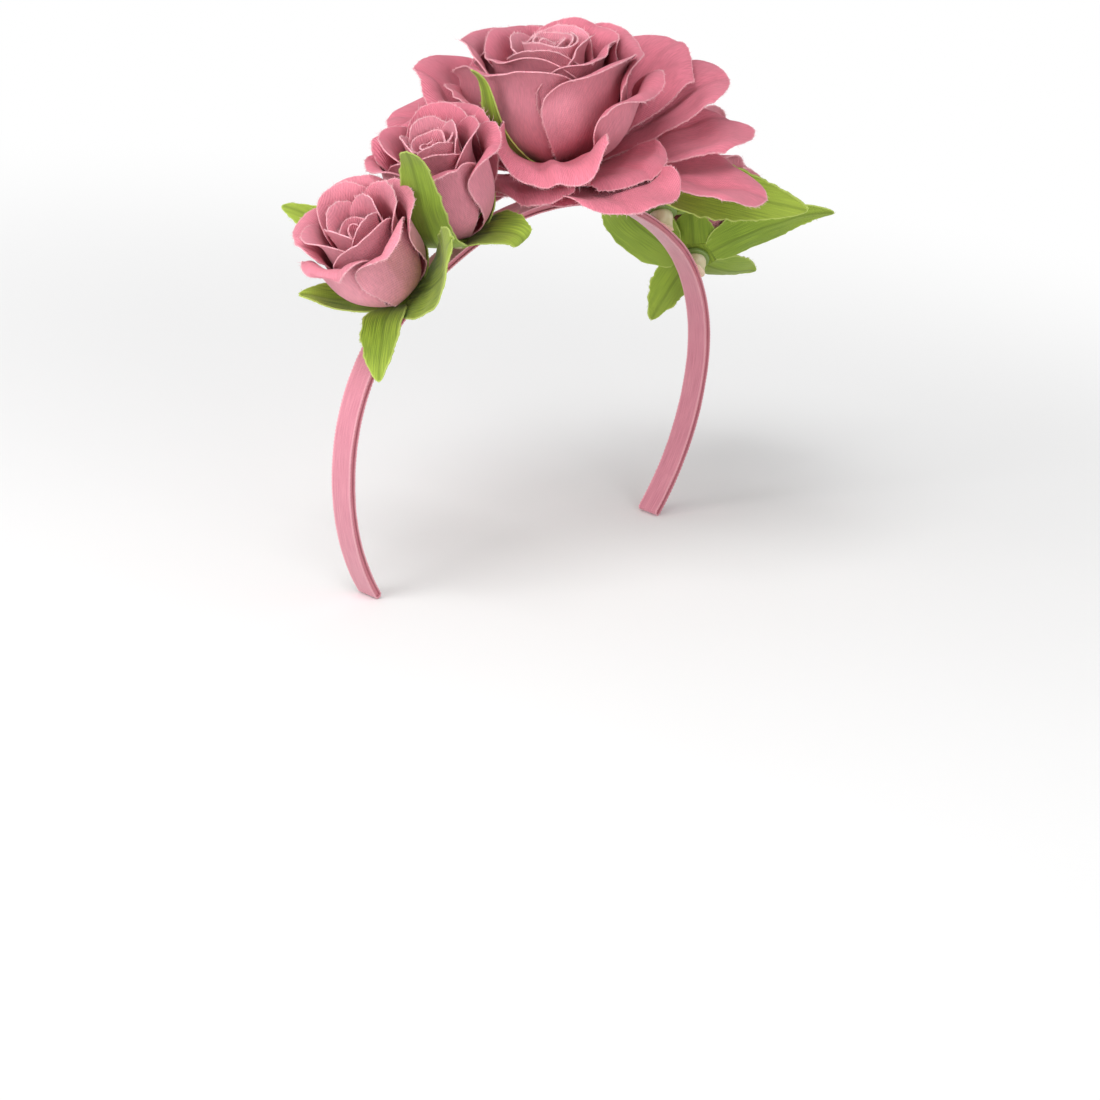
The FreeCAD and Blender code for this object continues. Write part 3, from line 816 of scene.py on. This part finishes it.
stack_layer("large_rose", "leaf", sepals(
    -8, dict(length=70, width=17, slope=-19, bowl=0.5, cup=16, twist=70, curl=0.6), *[None] * 4),
    hub=8.2, turn=-37, material=green_cloth, size=(60, 25))
stack_layer("large_rose", "petals_7", vary(
    {**outer, "base": 2},
    dict(length=54, width=30, slope=-7, roll=-5, twist=1),
    dict(length=34, slope=5),
    dict(length=40, slope=12, sweep=16, twist=-6),
    dict(length=18, width=20, slope=-8),
    dict(length=15, width=20, slope=-6),
), hub=7.6, turn=-56, material=rose_twill, size=BROAD)
stack_layer("large_rose", "petals_6", vary(
    {**outer, "base": 10},
    dict(length=52, width=25, slope=9, roll=-10, twist=10),
    dict(length=40, slope=20),
    dict(length=46, slope=26, roll=15, sweep=4, twist=-6),
    dict(length=18, width=22, slope=0),
    dict(length=41, slope=6, roll=10, cup=60, twist=2, sweep=6, curl=2.4, lip=0.8, crease=0.5),
), hub=7.0, turn=-38, material=rose_twill, size=BROAD)
stack_layer("large_rose", "petals_5", vary(
    {**outer, "base": 18},
    dict(length=52, width=28, slope=31, roll=12, twist=14, sweep=-6),
    dict(length=40, slope=36),
    dict(length=46, slope=56, roll=15, sweep=-6, twist=-6),
    dict(length=28, width=28, slope=8, roll=20, cup=60, sweep=10),
    dict(length=32, width=30, slope=16, roll=30, cup=50),
), hub=6.4, turn=-20, material=rose_twill, size=BROAD)
stack_layer("large_rose", "petals_4", vary(
    {**outer, "base": 24},
    dict(length=48, width=30, slope=47, roll=15, twist=14, sweep=-8),
    dict(length=40, slope=60),
    dict(length=40, width=30, bowl=0.9, slope=84, roll=30, sweep=8),
    dict(length=35, width=40, base=40, slope=15, roll=40, cup=16, sweep=6, twist=-4,
         folds=((0.1, 1.6, 0.16),)),
    dict(length=43, bowl=0.85, slope=80, roll=100, cup=26),
), hub=5.8, turn=-4, material=rose_twill, size=BROAD)

# %% The calyx and the bud of the large rose
full = dict(
    twist=10, length=46, width=44, base=32, bowl=0.76, cup=25, roll=60, ruffle=1.0, curl=2.4, lip=1.4,
    crease=0.6)

stack_layer("large_rose", "calyx", sepals(
    28,
    dict(length=46, width=5.5, slope=84, roll=20, cup=26, sweep=-3),
    None,
    dict(length=15, width=8, slope=44, cup=26),
    dict(length=18, width=8, slope=52, cup=26),
    dict(length=18, width=8, slope=52, cup=26),
), hub=4.6, turn=180, material=green_cloth, size=(36, 17))
stack_layer("large_rose", "petals_3", vary(
    full, dict(length=41), dict(length=45), dict(length=43), dict(length=44, width=34, sweep=5),
    dict(length=43, roll=75)), hub=4.5, turn=38, material=rose_twill, size=BROAD)
stack_layer("large_rose", "petals_2", ring(
    4, length=42, width=36, base=38, bowl=0.66, cup=18, roll=50, curl=2.4, ruffle=2.0, dent=0.8, crease=1.2),
    hub=3.0, turn=0, material=rose_twill, size=BROAD)
# The innermost petals take the paler twill, painted light against the shade inside the rose.
stack_layer("large_rose", "petals_1", ring(
    4, length=38, width=27, base=42, bowl=0.5, cup=12, slope=92, curl=2.4, ruffle=2.0, dent=0.9, crease=0.9),
    hub=2.2, turn=22, material=inner_twill_painted_light, size=(40, 37))
roll_heart("large_rose", turns=3.0)

# %% [markdown]
# ## The smaller roses and the buds
#
# Two half-opened roses stand beside the large one and two buds end the row. The two of a kind are alike but
# for how they are turned about their stems and for the half-opened ones' tallest sepal, so one function makes
# both.

# %% Half-opened roses
FINE, LOBES = (36, 33), (34, 17)  # rows and columns of a small petal's and of a sepal's grid


def half_open(rose, calyx, spin, tallest):
    """A half-opened rose: three layers of petals inside five sepals that have dropped open unevenly. The
    tallest sepal stands against the petals. Calyx and spin are degrees about the stem."""
    stack_layer(rose, "calyx", sepals(
        24,
        dict(width=11, bowl=0.5, roll=18, cup=24, curl=1.6, blunt=0.45, **tallest),
        dict(length=21, width=15, slope=2, roll=100, cup=24, blunt=0.5),
        dict(length=13, slope=58),
        dict(length=13, slope=58),
        dict(length=26, slope=50),
    ), hub=5.2, turn=calyx, material=green_cloth, size=LOBES)
    stack_layer(rose, "petals_3", vary(
        dict(length=37, width=24, base=35, bowl=0.6, cup=15, roll=75, curl=1.6, crease=0.8),
        {}, dict(roll=110, curl=3), {}, {}, dict(roll=100)),
        hub=4.5, turn=spin, material=rose_twill, size=FINE)
    stack_layer(rose, "petals_2", ring(
        4, length=37, width=24, base=40, bowl=0.5, cup=12, roll=45),
        hub=3.0, turn=spin + 20, material=rose_twill, size=FINE)
    # The innermost petals take the paler twill, painted light against the shade inside the rose.
    stack_layer(rose, "petals_1", ring(
        4, length=34, width=18, base=45, bowl=0.42, cup=7.5, slope=92, lip=0.4, dent=0.2),
        hub=2.2, turn=spin + 42, material=inner_twill_painted_light, size=FINE)
    roll_heart(rose, turns=1.9)


half_open("right_rose", calyx=205, spin=10, tallest=dict(length=52, slope=86, sweep=4))
half_open("left_rose", calyx=198, spin=150, tallest=dict(length=44, slope=80))


# %% Buds
def bud(rose, calyx, spin):
    """A bud: three layers of closer petals, with sepals that hug it or hang. Calyx and spin are degrees
    about the stem."""
    stack_layer(rose, "calyx", sepals(
        24,
        dict(length=38, width=13, slope=38, sweep=14),
        dict(length=23, slope=42),
        dict(length=26, slope=-15, bowl=0.5),
        dict(length=40, width=21, slope=62, roll=10, twist=28, cup=30, curl=1.6, blunt=0.5),
        dict(length=11, slope=40),
    ), hub=5.0, turn=calyx, material=green_cloth, size=LOBES)
    stack_layer(rose, "petals_3", vary(
        dict(length=35, width=23, base=36, bowl=0.6, cup=14, roll=70, curl=1.6, crease=0.6),
        {}, {}, dict(roll=150, curl=3), dict(roll=100), {}),
        hub=4.4, turn=spin, material=dusky_twill, size=FINE)
    stack_layer(rose, "petals_2", ring(
        4, length=35, width=23, base=41, bowl=0.54, cup=11, roll=40),
        hub=3.0, turn=spin + 20, material=dusky_twill, size=FINE)
    # The innermost petals take the paler twill, painted light against the shade inside the bud.
    stack_layer(rose, "petals_1", ring(
        4, length=32, width=16, base=46, bowl=0.42, cup=7.5, slope=92, lip=0.4, dent=0.2),
        hub=2.2, turn=spin + 42, material=inner_twill_painted_light, size=FINE)
    roll_heart(rose, turns=1.5)


bud("right_bud", calyx=62, spin=42)
bud("left_bud", calyx=260, spin=60)

# %% [markdown]
# ## The ribbon
#
# A satin ribbon is stuck along the outside of the springy core and turned in round both tips, and a second
# one lines the inside between those ends. A curve with a flat profile would do, but not the woven rim with
# tiny loops along the ribbon's long edges. So both are a row of points carried along the band's outline:
# five arcs that meet in line, one over the crown and on each side one for the shoulder and one for the arm.

# %% The band's outline
head = frame["record"]["mount_notes"]["head_seat"]["dimensions_mm"]
CROWN_ANGLE, TIP_ANGLE = 38.0, 38.0  # degrees from straight up to the shoulder, and from level to the tip
ARM_RADIUS, CORE_THICKNESS, RIBBON, FOLD = 72.0, 1.6, 0.35, 12.0  # mm
RIBBON_WIDTH, BAND = head["band_width"], CORE_THICKNESS + 2 * RIBBON
lean = math.sin(math.radians(CROWN_ANGLE))
shoulder = (head["inside_width"] / 2 - head["crown_radius"] * lean) / (1 - lean)
print("head seat:", head, "shoulder radius", round(shoulder, 2))


def band_point(angle, height):
    """The point at a height over the band's inner face where its outward normal stands at an angle in degrees
    from -X, and that normal. Each arc is its centre plus its radius and the height along the normal."""
    angle, height = np.broadcast_arrays(np.asarray(angle, float), np.asarray(height, float))
    rad, down = np.radians(angle), np.abs(angle - 90)
    side = np.where(angle > 90, 1.0, -1.0)
    crown, widest = head["crown_radius"], head["inside_width"] / 2
    rise = math.cos(math.radians(CROWN_ANGLE)) * (crown - shoulder) - crown
    arcs = [down <= CROWN_ANGLE, down <= 90]
    radius = np.select(arcs, [crown, shoulder], ARM_RADIUS)
    x = np.select(arcs, [0 * side, side * lean * (crown - shoulder)], side * (widest - ARM_RADIUS))
    z = np.where(arcs[0], -crown, rise)
    normal = np.stack([-np.cos(rad), 0 * rad, np.sin(rad)], axis=-1)
    middle = np.stack([x, 0 * x, z], axis=-1)
    return middle + normal * (radius + height)[..., None], normal


# %% A ribbon along the band
def evenly(line, step):
    """A line of points taken again at equal steps along its length."""
    length = np.concatenate([[0], np.cumsum(np.linalg.norm(np.diff(line, axis=0), axis=1))])
    at = np.linspace(0, length[-1], int(length[-1] / step) + 2)
    return np.stack([np.interp(at, length, line[:, k]) for k in range(3)], axis=1), at


def half_turn(end, sign):
    """The half round past a tip, from the outer face to the inner for a sign of 1 and back for -1: the middle
    of the band's thickness plus half the thickness times the sine along the band and the cosine across it."""
    middle, normal = band_point(end, BAND / 2)
    forward = np.array([normal[2], 0, -normal[0]]) * (-1 if end < 90 else 1)
    swing = np.linspace(0, np.pi, 15)[1:-1]
    return middle + BAND / 2 * (sign * np.cos(swing)[:, None] * normal + np.sin(swing)[:, None] * forward)


def lay_ribbon(name, line, node, seed, loop=0.1, pitch=1.1):
    """The outline moved across by the width. The outermost points of each side wave as a sine, which makes
    the small loops of the woven rim, and lie on a raised bead. The cloth ripples a little over the core."""
    rng = np.random.default_rng(seed)
    path, place = evenly(line, 0.3)
    across = np.array([-1, -0.97, -0.88, -0.7, -0.35, 0, 0.35, 0.7, 0.88, 0.97, 1]) * RIBBON_WIDTH / 2
    inward = RIBBON_WIDTH / 2 - np.abs(across)
    woven = np.sign(across) * (inward < RIBBON_WIDTH * 0.03)
    loops = loop * np.sin(place * 2 * np.pi / pitch)[:, None] * woven
    wander = 0.1 * dents(place * 0 + 3, place, rng, 40)[:, None]
    y = across + loops + wander
    points = np.repeat(path[:, None], len(across), axis=1)
    points[..., 1] = y
    bead = 0.05 * bell(inward, 0.25)
    ripple = 0.06 * dents(y, place[:, None] + 0 * y, rng, 9) + bead - 0.03
    points = points + directions(points)[2] * ripple[..., None]
    flat = np.stack([y, np.broadcast_to(place[:, None], y.shape)], axis=-1)
    rim = np.broadcast_to(inward, y.shape)
    grid = shell(points, RIBBON, flat, rim, np.full_like(y, 0.5))
    make_piece(name, [grid], ribbon_satin, [node])
    print(name, "length", round(place[-1], 1), "mm")


low, high = -TIP_ANGLE, 180 + TIP_ANGLE
turned_in = math.degrees(FOLD / ARM_RADIUS)
outside = np.concatenate([
    band_point(np.linspace(low + turned_in, low, 30), 0)[0], half_turn(low, -1),
    band_point(np.linspace(low, high, 900), BAND)[0], half_turn(high, 1),
    band_point(np.linspace(high, high - turned_in, 30), 0)[0]])
lay_ribbon("outer_ribbon_satin", outside, "outer_ribbon", seed=5)
inside = band_point(np.linspace(low + turned_in, high - turned_in, 900), RIBBON)[0]
lay_ribbon("inner_ribbon_satin", inside, "inner_ribbon", seed=6)

# %% The core stays as it is, with its own finish
core = frame["nodes"]["band_core"]
core.data.materials.clear()
core.data.materials.append(core_plastic)
print("core of the band:", core.data.materials[0].name)

# %% [markdown]
# ## Cups and hot glue
#
# Under each rose sits a moulded cup, and a blob of hot glue holds its flange to the ribbon. Both are turned
# shapes: a profile of radii and levels carried round the stem, closed by a point at each end. The cup could
# stay as its solid, but moulded edges are never sharp: its radii and levels are read from the solid and its
# edges are softened. The glue swells between the flange and the ribbon, spreads where it met the ribbon, and
# follows the ribbon's curve below, which is found by solving for the height at which a line down the stem
# meets the band's cylinder.

# %% A turned shape
AROUND = np.linspace(0, 2 * np.pi, 48, endpoint=False)  # the angles of the points of a ring


def turned_shape(grid):
    """Rings of points closed by the mean of the first and of the last ring. Faces point outwards where the
    rings go from the top down."""
    rows, cols = grid.shape[:2]
    points = np.concatenate([grid.reshape(-1, 3), [grid[0].mean(0)], [grid[-1].mean(0)]])
    i = np.arange(rows * cols).reshape(rows, cols)
    j = np.roll(i, -1, axis=1)
    quads = np.stack([i[:-1], i[1:], j[1:], j[:-1]], axis=-1).reshape(-1, 4)
    first, last = np.full(cols, rows * cols), np.full(cols, rows * cols + 1)
    caps = [np.stack([first, i[0], j[0]], axis=1), np.stack([last, j[-1], i[-1]], axis=1)]
    extra = np.zeros((len(points), 5))
    extra[:, 2] = FAR_INSIDE
    return points, [quads, *caps], extra


# %% Cups
def mould_cup(rose):
    """The cup's profile from its solid: the flange's radius is the widest, its top is the highest of those
    points, and the peg runs on to the solid's top. The flange's corners are rounded by r, and the peg's end
    is drawn in."""
    name = f"{rose}_cup"
    local = in_rose(stems[rose], node_points(name)[0])
    radius = np.hypot(local[:, 0], local[:, 1])
    flange, top = radius.max(), local[:, 2].max()
    disc = local[radius > flange - 0.1, 2].max()
    peg, r = 1.5, 0.3  # mm
    profile = np.array([
        (0.5, top), (peg * 0.75, top - 0.2), (peg, top - 0.8), (peg, disc + 0.3), (peg + 0.1, disc + 0.02),
        (flange - r, disc), (flange - r * 0.3, disc - r * 0.3), (flange, disc - r),
        (flange, r), (flange - r * 0.3, r * 0.3), (flange - r, 0), (flange * 0.5, 0.0)])
    reach, level = profile[:, 0][:, None], profile[:, 1][:, None]
    grid = np.stack([reach * np.cos(AROUND), reach * np.sin(AROUND), level + 0 * AROUND], axis=-1)
    shape = turned_shape(out_of_rose(stems[rose], grid))
    make_piece(f"{name}_moulded", [shape], cup_plastic, [name], sharp=60)
    print(f"{name}: flange {flange:.2f} mm in radius, peg to {top:.2f} mm")


for rose in ROSES:
    mould_cup(rose)


# %% Hot glue
def down_to_ribbon(rose, x, y):
    """How far below the flange a line at (x, y) along the stem meets the ribbon's outer face. With q the
    line's start seen from the arc's centre and z the stem, both without their part along the cylinder,
    |q - d z| equals the radius, which is a quadratic in d."""
    foot, turn = stems[rose]
    angles = np.linspace(0, 180, 721)
    near = band_point(angles, BAND)[0]
    where = angles[np.argmin(np.linalg.norm(near - foot * (1, 0, 1), axis=1))]
    surface, normal = band_point(where, BAND)
    down = abs(where - 90)
    radius = (head["crown_radius"] if down <= CROWN_ANGLE else shoulder) + BAND
    middle = surface - normal * radius
    start = foot + x[..., None] * turn[:, 0] + y[..., None] * turn[:, 1]
    q, z = (start - middle)[..., [0, 2]], turn[[0, 2], 2]
    a, b, c = z @ z, q @ z, (q * q).sum(-1) - radius**2
    return (b - np.sqrt(np.maximum(b * b - a * c, 0))) / a


def glue_blob(rose, rng, radius=3.2):
    """Rings at growing shares of the way down, whose radius swells, pinches and spreads, and wobbles by
    sines of the angle."""
    phase = rng.uniform(0, 2 * np.pi, 3)
    wobble = 1 + 0.05 * np.sin(2 * AROUND + phase[0]) + 0.04 * np.sin(3 * AROUND + phase[1])
    rings = np.array([(0.5, 0), (0.95, 0), (1.03, 0.1), (1.06, 0.3), (1.0, 0.55), (1.02, 0.8), (1.06, 0.93),
                      (1.1, 1.0), (0.6, 1.0)])
    reach = radius * rings[:, :1] * wobble
    x, y = reach * np.cos(AROUND), reach * np.sin(AROUND)
    depth = down_to_ribbon(rose, x, y)
    print(f"glue under {rose}: {depth.min():.2f} to {depth.max():.2f} mm thick")
    return turned_shape(out_of_rose(stems[rose], np.stack([x, y, -depth * rings[:, 1:]], axis=-1)))


rng = np.random.default_rng(11)
blobs = [glue_blob(rose, rng) for rose in ROSES]
make_piece("glue_pads_set", blobs, hot_glue, ["glue_pads"], sharp=60)

# %% [markdown]
# ## Floor, light and camera
#
# The crown stands on the tips of its arms on a pale floor. The light is soft: three large square lamps, one
# high up and two lower, at the left and to the front, and a plain pale world. Beyond the object's shadow the
# floor turns to plain white for the camera alone, so the background is clean and the light on the object is
# unchanged.

# %% Floor
def stand_on_floor():
    """A disc just under the band's tips, in metres: rings of points at growing radii round a middle one."""
    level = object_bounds()[0][2] - 0.0002
    radii = np.array([0.3, 0.8, 2.0, 6.0])
    rings = radii[:, None, None] * np.stack([np.cos(AROUND), np.sin(AROUND)], axis=-1)
    flat = np.concatenate([np.zeros((1, 2)), rings.reshape(-1, 2)])
    points = np.column_stack([flat, np.full(len(flat), level)])
    inner = 1 + np.arange((len(radii) - 1) * len(AROUND)).reshape(-1, len(AROUND))
    outer_ring = inner + len(AROUND)
    ahead, outer_ahead = np.roll(inner, -1, axis=1), np.roll(outer_ring, -1, axis=1)
    fan = np.stack([0 * inner[0], inner[0], ahead[0]], axis=1)
    quads = np.stack([inner, outer_ring, outer_ahead, ahead], axis=-1).reshape(-1, 4)
    mesh = bpy.data.meshes.new("floor")
    mesh.from_pydata(points, [], fan.tolist() + quads.tolist())
    floor = bpy.data.objects.new("floor", mesh)
    bpy.context.scene.collection.objects.link(floor)
    floor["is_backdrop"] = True
    print("floor at z =", round(level, 4), "m")
    return floor


def seen_by_camera(tree):
    """One for rays from the camera and for those that glossy or clear surfaces send on, nought for others."""
    rays = node(tree, "LightPath").outputs
    seen = maths(tree, "MAXIMUM", rays["Is Camera Ray"], rays["Is Glossy Ray"])
    return maths(tree, "MAXIMUM", seen, rays["Is Transmission Ray"])


# %% The floor's paint, which fades to white for the camera
FADE_FROM, FADE_TO = 0.16, 0.5  # m from the middle
floor_paint, tree, shader = new_material("floor_paint", 0.9, Specular_IOR_Level=0.1)
floor_colour = blend_colours(
    tree, ramp(tree, mottle(tree, 3), 0.3, 0.7), (0.87, 0.87, 0.87, 1), (0.89, 0.89, 0.89, 1))
tree.links.new(floor_colour, shader.inputs["Base Color"])
place = node(tree, "TexCoord").outputs["Object"]
distance = node(tree, "VectorMath", {0: place}, operation="LENGTH").outputs["Value"]
far = ramp(tree, distance, FADE_FROM, FADE_TO)
white = node(tree, "Emission", {"Color": (1, 1, 1, 1), "Strength": 1.0}).outputs[0]
mixed = node(tree, "MixShader", {0: maths(tree, "MULTIPLY", far, seen_by_camera(tree))})
tree.links.new(shader.outputs[0], mixed.inputs[1])
tree.links.new(white, mixed.inputs[2])
tree.links.new(mixed.outputs[0], tree.nodes["Material Output"].inputs["Surface"])
stand_on_floor().data.materials.append(floor_paint)
print("floor paint: white from", FADE_TO, "m on")

# %% The pale world
WORLD_LIGHT = 0.55  # what lights the crown; the camera sees a strength of 1, which is white
world = bpy.data.worlds.new("studio")
bpy.context.scene.world = world
world.use_nodes = True
tree = world.node_tree
tree.nodes.clear()
soft = node(tree, "Background", {"Color": (1, 1, 1, 1), "Strength": WORLD_LIGHT}).outputs[0]
plain = node(tree, "Background", {"Color": (1, 1, 1, 1), "Strength": 1.0}).outputs[0]
chosen = node(tree, "MixShader", {0: seen_by_camera(tree)})
tree.links.new(soft, chosen.inputs[1])
tree.links.new(plain, chosen.inputs[2])
tree.links.new(chosen.outputs[0], node(tree, "OutputWorld").inputs[0])
print("world:", world.name, "with", len(tree.nodes), "nodes")


# %% Lamps
def placed(back, place, roll=0.0):
    """The matrix of a lamp or a camera at a place, in metres, whose back points as given. Its right side is
    level, square to the vertical and to back, unless it is rolled: then it is the cosine of the roll times
    the level side plus the sine times the upper one."""
    level = unit(np.cross((0, 0, 1), back))
    right = math.cos(roll) * level + math.sin(roll) * np.cross(back, level)
    matrix = np.eye(4)
    matrix[:3] = np.stack([right, np.cross(back, right), back, place], axis=1)
    return Matrix(matrix.tolist())


def lamp(name, place, size, watts):
    """A square lamp at a place, in metres, facing the crown."""
    light = bpy.data.lights.new(name, "AREA")
    light.size, light.energy = size, watts
    made = bpy.data.objects.new(name, light)
    made.matrix_world = placed(unit(np.array(place)), place)
    bpy.context.scene.collection.objects.link(made)
    print(f"{name} lamp: {watts} W, {np.linalg.norm(place):.2f} m away")


lamp("key", (-0.75, -0.15, 1.1), size=0.6, watts=8.4)
lamp("left", (-1.3, 0.15, 0.4), size=0.7, watts=8.0)
lamp("front", (-0.6, -1.3, 0.3), size=0.7, watts=6.0)

# %% Camera
CAMERA_PLACE = (-0.809725, -0.672869, 0.275845)  # m
ROUND_LEFT, RAISED, ROLLED = 50.8389, 19.9176, 6.1183  # degrees
camera = bpy.data.objects.new("camera", bpy.data.cameras.new("camera"))
bpy.context.scene.collection.objects.link(camera)
bpy.context.scene.camera = camera
camera.data.sensor_width, camera.data.lens = 36.0, 122.4  # mm
sideways, upwards = math.radians(ROUND_LEFT), math.radians(RAISED)
back = np.array([
    -math.sin(sideways) * math.cos(upwards), -math.cos(sideways) * math.cos(upwards), math.sin(upwards)])
camera.matrix_world = placed(back, CAMERA_PLACE, math.radians(ROLLED))
bpy.context.scene.view_settings.view_transform = "Standard"
print("camera:", round(math.dist(CAMERA_PLACE, (0, 0, 0)), 3), "m from the middle of the band's top")

# %% Sizes, and the end
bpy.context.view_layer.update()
count = sum(len(thing.data.polygons) for thing in bpy.data.objects if thing.type == "MESH")
print("faces in all:", count)
